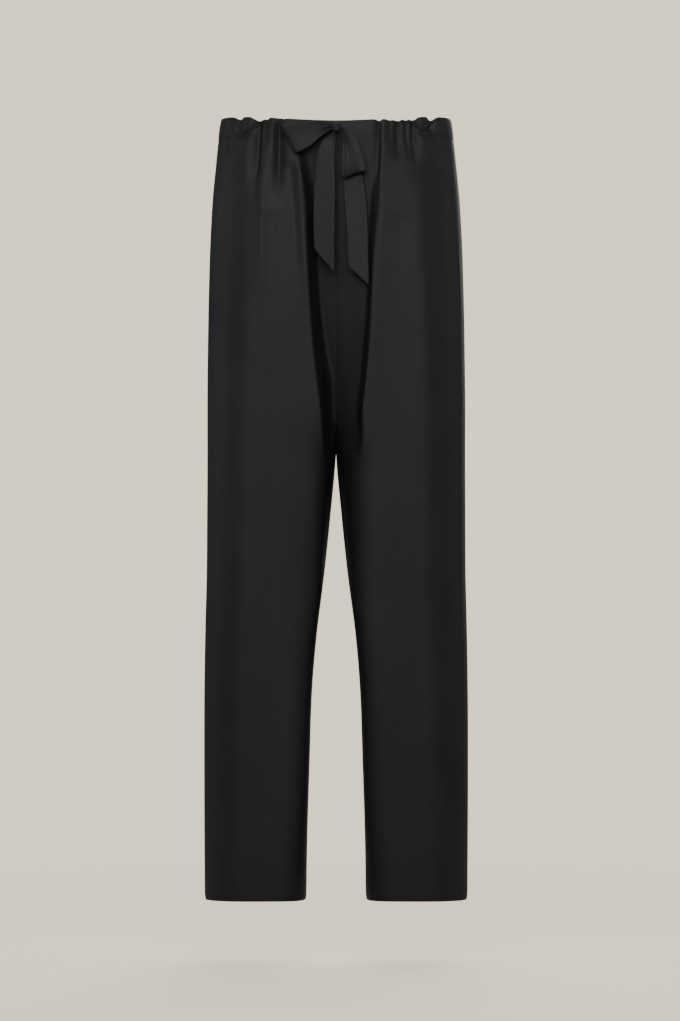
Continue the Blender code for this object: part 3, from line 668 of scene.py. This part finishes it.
def satin(name, tone, roughness):
    """Black satin crepe: a fine pebbled bump, faint streaks along the warp and slight changes of tone."""
    material = bpy.data.materials.new(name)
    material.use_nodes = True
    tree = material.node_tree
    shader = tree.nodes["Principled BSDF"]
    shader.inputs["Metallic"].default_value = 0.0
    shader.inputs["Specular IOR Level"].default_value = 0.25
    place = node(tree, "ShaderNodeTexCoord")
    link = tree.links.new

    weave = node(tree, "ShaderNodeMapping")
    weave.inputs["Scale"].default_value = (1.0, 1.0, 0.35)
    link(place.outputs["Object"], weave.inputs["Vector"])
    pebble = node(tree, "ShaderNodeTexNoise", Scale=1900.0, Detail=3.0, Roughness=0.6)
    link(weave.outputs["Vector"], pebble.inputs["Vector"])
    warp = node(tree, "ShaderNodeMapping")
    warp.inputs["Scale"].default_value = (1.0, 1.0, 0.03)
    link(place.outputs["Object"], warp.inputs["Vector"])
    streak = node(tree, "ShaderNodeTexNoise", Scale=420.0, Detail=4.0, Roughness=0.55)
    link(warp.outputs["Vector"], streak.inputs["Vector"])
    cloud = node(tree, "ShaderNodeTexNoise", Scale=9.0, Detail=3.0, Roughness=0.5)
    link(place.outputs["Object"], cloud.inputs["Vector"])

    mixed = node(tree, "ShaderNodeMath", operation="ADD")
    link(streak.outputs["Fac"], mixed.inputs[0])
    link(cloud.outputs["Fac"], mixed.inputs[1])
    ramp = node(tree, "ShaderNodeValToRGB")
    low, high = (tuple(channel * k for channel in tone) for k in TONE_RANGE)
    ramp.color_ramp.elements[0].position = 0.35
    ramp.color_ramp.elements[0].color = (*low, 1.0)
    ramp.color_ramp.elements[1].position = 0.65
    ramp.color_ramp.elements[1].color = (*high, 1.0)
    half = node(tree, "ShaderNodeMath", operation="MULTIPLY")
    half.inputs[1].default_value = 0.5
    link(mixed.outputs["Value"], half.inputs[0])
    link(half.outputs["Value"], ramp.inputs["Fac"])
    link(ramp.outputs["Color"], shader.inputs["Base Color"])

    rough = node(tree, "ShaderNodeMapRange")
    rough.inputs["From Min"].default_value = 0.3
    rough.inputs["From Max"].default_value = 0.7
    rough.inputs["To Min"].default_value = roughness - ROUGHNESS_RANGE
    rough.inputs["To Max"].default_value = roughness + ROUGHNESS_RANGE
    link(streak.outputs["Fac"], rough.inputs["Value"])
    link(rough.outputs["Result"], shader.inputs["Roughness"])

    fine = node(tree, "ShaderNodeBump", Strength=0.22, Distance=0.00025)
    link(pebble.outputs["Fac"], fine.inputs["Height"])
    broad = node(tree, "ShaderNodeBump", Strength=0.10, Distance=0.0004)
    link(streak.outputs["Fac"], broad.inputs["Height"])
    link(fine.outputs["Normal"], broad.inputs["Normal"])
    link(broad.outputs["Normal"], shader.inputs["Normal"])
    return material


def ribs(rows):
    """The two edges of a strip, smoothly filled in between the table's ribs."""
    values = np.array(rows)
    at = np.linspace(0, len(rows) - 1, (len(rows) - 1) * RIB_STEPS + 1)
    steps = np.arange(len(rows), dtype=float)
    smooth = np.stack([smooth_curve(steps, values[:, k], at) for k in range(values.shape[1])], axis=1)
    side_a = np.stack([smooth[:, 0], -smooth[:, 4], smooth[:, 1]], axis=1)
    side_b = np.stack([smooth[:, 2], -smooth[:, 5], smooth[:, 3]], axis=1)
    return side_a, side_b


def ribbon(name, rows, material):
    """A flat length of the tie, pleated where the knot gathers it, with soft pressed edges."""
    side_a, side_b = ribs(rows)
    across = np.linspace(0.0, 1.0, RIB_WIDTH)
    width = np.linalg.norm(side_b - side_a, axis=1)
    middle = (side_a + side_b) / 2
    grid = side_a[:, None] + (side_b - side_a)[:, None] * across[None, :, None]
    down = np.gradient(middle, axis=0)[:, None]
    normal = np.cross((side_b - side_a)[:, None], down) + 0.0 * grid
    normal = normal / np.linalg.norm(normal, axis=2, keepdims=True)
    spare = np.clip(1.0 - width / TIE_WIDTH, 0.0, 1.0)
    wave = np.cos(2.0 * math.pi * PLEATS * across[None, :] + 0.9 * middle[:, :1] * 100.0)
    crown = RIBBON_CROWN * np.sin(math.pi * across)[None, :] * ease(width / TIE_WIDTH)[:, None]
    pleats = PLEAT_DEPTH * (spare * ease(spare / 0.5))[:, None] * wave
    grid = grid + normal * (pleats + crown)[..., None]
    edge = np.sqrt(1.0 - np.abs(2.0 * across - 1.0) ** 10)
    half = normal * (RIBBON_CLOTH / 2 * edge)[None, :, None]
    thing = wall(name, grid + half, grid - half, True, material)
    finish_cloth(thing, name.replace("ribbon", "tie"))


def wrapped_knot(material):
    """The knot: the tie wrapped once round itself, with creases that run over it."""
    half_x, half_y, half_z = KNOT_HALF
    behind = max(level("front", d) - recess_at(1, "front", d, 0.0) for d in (0.0, 0.5 * CASING_HEIGHT))
    middle = np.array([0.0, -(behind + KNOT_OFF + half_y), KNOT_HEIGHT])
    rings, sides = KNOT_RINGS, KNOT_SIDES
    power = 2.0 / KNOT_SQUARE
    lift = np.linspace(0.03, math.pi - 0.03, rings)[:, None]
    turn = np.linspace(0.0, 2 * math.pi, sides, endpoint=False)[None, :]

    def rounded(v):
        return np.sign(v) * np.abs(v) ** power

    # Two rounds of the tie show as a slanting groove, and the squeezed cloth as ridges across it.
    slant = (np.cos(lift) - 0.55 * np.cos(turn) + 0.12) / 0.16
    deep, shallow = KNOT_GROOVES
    groove = deep * np.exp(-(slant**2)) + shallow * np.exp(-((slant - 3.6) ** 2))
    broad, narrow = KNOT_RIDGES
    ridges = broad * np.cos(6.0 * turn + 2.0 * lift) + narrow * np.cos(11.0 * turn - 3.0 * lift)
    size = 0.94 + (ridges - groove) * np.sin(lift)
    x = half_x * rounded(np.sin(lift)) * rounded(np.cos(turn)) * size * (1.0 - 0.10 * np.cos(lift))
    y = half_y * rounded(np.sin(lift)) * rounded(np.sin(turn)) * size
    z = half_z * rounded(np.cos(lift)) * 0.88 + 0.0 * turn
    points = (np.stack([x, y, z], axis=2) + middle).reshape(-1, 3)
    faces = []
    for r in range(rings - 1):
        for i in range(sides):
            a, b = r * sides + i, r * sides + (i + 1) % sides
            faces.append((a, a + sides, b + sides, b))
    faces.append(tuple(range(sides)))
    faces.append(tuple(range((rings - 1) * sides, rings * sides))[::-1])
    thing = make_mesh("wrap_knot", points, faces, material, 80)
    finish_cloth(thing, "tie_knot")


def stitch_row(name, points, normals, material):
    """A run of stitches along a line: one short bowed thread after another, with a gap at each needle."""
    steps = np.linalg.norm(np.diff(points, axis=0), axis=1)
    run = np.concatenate([[0.0], np.cumsum(steps)])
    count = int(run[-1] / STITCH_STEP)
    rings, sides = STITCH_RINGS, STITCH_SIDES
    vertices, faces = [], []
    for k in range(count):
        start = (k + 0.15) * STITCH_STEP
        at = start + np.linspace(0.0, STITCH_LENGTH, rings)
        spine = np.stack([np.interp(at, run, points[:, i]) for i in range(3)], axis=1)
        out = np.stack([np.interp(at, run, normals[:, i]) for i in range(3)], axis=1)
        out /= np.linalg.norm(out, axis=1, keepdims=True)
        bow = np.sin(np.linspace(0.0, math.pi, rings))
        spine = spine + out * (STITCH_RADIUS * (1.3 * bow - 0.4))[:, None]
        along = spine[-1] - spine[0]
        along /= np.linalg.norm(along)
        sideways = np.cross(out, along)
        radius = STITCH_RADIUS * (0.55 + 0.45 * bow)
        first = len(vertices)
        for j in range(rings):
            for i in range(sides):
                turn = 2 * math.pi * i / sides
                ring = math.cos(turn) * sideways[j] + math.sin(turn) * out[j]
                vertices.append(spine[j] + ring * radius[j])
        for j in range(rings - 1):
            for i in range(sides):
                a, b = first + j * sides + i, first + j * sides + (i + 1) % sides
                faces.append((a, b, b + sides, a + sides))
        faces.append(tuple(range(first, first + sides))[::-1])
        faces.append(tuple(range(first + (rings - 1) * sides, first + rings * sides)))
    thing = make_mesh(name, vertices, faces, material)
    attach(thing, "root")


def sewn_lines(columns, material):
    """The casing's and the hems' rows of stitches."""
    for face in ("front", "back"):
        for label, drop in SEWN_DROPS.items():
            drops = [drop - SEWN_PROBE, drop, drop + SEWN_PROBE]
            grids = all_grids(drops, columns)
            halves = [(grids[side, face][1], normals_of(grids, side, face, drops)[1]) for side in (-1, 1)]
            if label == "casing":
                (right, right_out), (left, left_out) = halves
                line = np.concatenate([right, left[::-1][1:]])
                out = np.concatenate([right_out, left_out[::-1][1:]])
                stitch_row(f"stitches_casing_{face}", line, out, material)
            else:
                for side, (line, out) in zip(("right", "left"), halves):
                    stitch_row(f"stitches_hem_{face}_{side}", line, out, material)


def plain(name, colour, roughness):
    """A plain matt material."""
    material = bpy.data.materials.new(name)
    material.use_nodes = True
    shader = material.node_tree.nodes["Principled BSDF"]
    shader.inputs["Base Color"].default_value = (*colour, 1.0)
    shader.inputs["Roughness"].default_value = roughness
    return material


def area_light(name, place, target, size, power):
    """A rectangular softbox at a place, turned to a target."""
    light = bpy.data.lights.new(name, "AREA")
    light.shape = "RECTANGLE"
    light.size, light.size_y = size
    light.energy = power
    light.spread = math.radians(BEAM)
    thing = bpy.data.objects.new(name, light)
    bpy.context.scene.collection.objects.link(thing)
    thing.location = place
    way = Vector(target) - Vector(place)
    thing.rotation_euler = way.to_track_quat("-Z", "Y").to_euler()


def floor_material():
    """Pale and matt, and see-through towards the floor's rim, so that it has no hard horizon."""
    material = plain("floor_pale", *FLOOR)
    tree = material.node_tree
    place = node(tree, "ShaderNodeTexCoord")
    length = node(tree, "ShaderNodeVectorMath", operation="LENGTH")
    fade = node(tree, "ShaderNodeMapRange")
    fade.inputs["From Min"].default_value, fade.inputs["From Max"].default_value = FLOOR_FADE
    fade.inputs["To Min"].default_value = 1.0
    fade.inputs["To Max"].default_value = 0.0
    clear = node(tree, "ShaderNodeBsdfTransparent")
    mix = node(tree, "ShaderNodeMixShader")
    link = tree.links.new
    shader = tree.nodes["Principled BSDF"]
    shader.inputs["Emission Color"].default_value = SURROUND
    seen = node(tree, "ShaderNodeLightPath")
    glow = node(tree, "ShaderNodeMath", operation="MULTIPLY")
    glow.inputs[1].default_value = FLOOR_GLOW
    link(seen.outputs["Is Camera Ray"], glow.inputs[0])
    link(glow.outputs["Value"], shader.inputs["Emission Strength"])
    link(place.outputs["Object"], length.inputs[0])
    link(length.outputs["Value"], fade.inputs["Value"])
    link(fade.outputs["Result"], mix.inputs["Fac"])
    link(clear.outputs["BSDF"], mix.inputs[1])
    link(shader.outputs["BSDF"], mix.inputs[2])
    link(mix.outputs["Shader"], tree.nodes["Material Output"].inputs["Surface"])
    return material


def floor_disc():
    """The floor, a wide disc below the hems."""
    turns = [2 * math.pi * i / FLOOR_SIDES for i in range(FLOOR_SIDES)]
    rim = [(FLOOR_RADIUS * math.cos(a), FLOOR_RADIUS * math.sin(a), 0.0) for a in turns]
    floor = make_mesh("floor", rim, [tuple(range(FLOOR_SIDES))], floor_material())
    floor.location.z = FLOOR_Z


def surround():
    """A pale surround that the camera sees, and a weaker one that lights the cloth."""
    world = bpy.data.worlds.new("surround")
    bpy.context.scene.world = world
    world.use_nodes = True
    tree = world.node_tree
    seen = tree.nodes["Background"]
    seen.inputs["Color"].default_value = SURROUND
    seen.inputs["Strength"].default_value = 1.0
    unseen = node(tree, "ShaderNodeBackground", Strength=AMBIENT)
    unseen.inputs["Color"].default_value = AMBIENT_COLOUR
    path = node(tree, "ShaderNodeLightPath")
    mix = node(tree, "ShaderNodeMixShader")
    tree.links.new(path.outputs["Is Camera Ray"], mix.inputs["Fac"])
    tree.links.new(unseen.outputs["Background"], mix.inputs[1])
    tree.links.new(seen.outputs["Background"], mix.inputs[2])
    tree.links.new(mix.outputs["Shader"], tree.nodes["World Output"].inputs["Surface"])


def studio():
    """Pale floor, pale surround, and soft lights."""
    floor_disc()
    surround()
    for row in LIGHTS:
        area_light(*row)


def camera():
    """The photograph's camera: level, far away, at the garment's middle height."""
    lens = bpy.data.cameras.new("camera")
    lens.sensor_width = LONG_SIDE * 1000
    lens.lens = LONG_SIDE * 1000 * VIEW_DISTANCE / VIEW_HEIGHT
    lens.clip_start, lens.clip_end = 0.1, 100.0
    thing = bpy.data.objects.new("camera", lens)
    bpy.context.scene.collection.objects.link(thing)
    thing.location = (VIEW_X, -VIEW_DISTANCE, VIEW_Z)
    thing.rotation_euler = (math.pi / 2, 0.0, 0.0)
    bpy.context.scene.camera = thing


def build():
    """The garment: casing, leg panels, bow and stitches."""
    cloth = satin("satin_crepe", *SATIN)
    tie_cloth = satin("tie_satin_crepe", *TIE_SATIN)
    thread = plain("thread_black", *THREAD)
    columns = np.linspace(0.0, 1.0, COLUMNS + 1)
    casing("front", columns, cloth)
    casing("back", columns, cloth)
    drops = panel_drops()
    grids = all_grids(drops, columns)
    for side in (-1, 1):
        for face in ("front", "back"):
            leg_panel(side, face, grids, drops, cloth)
    wrapped_knot(tie_cloth)
    for label, rows, held, length in RIBBONS:
        ribbon(f"ribbon_{label}", rows, tie_cloth)
    sewn_lines(columns, thread)


camera()
studio()
build()
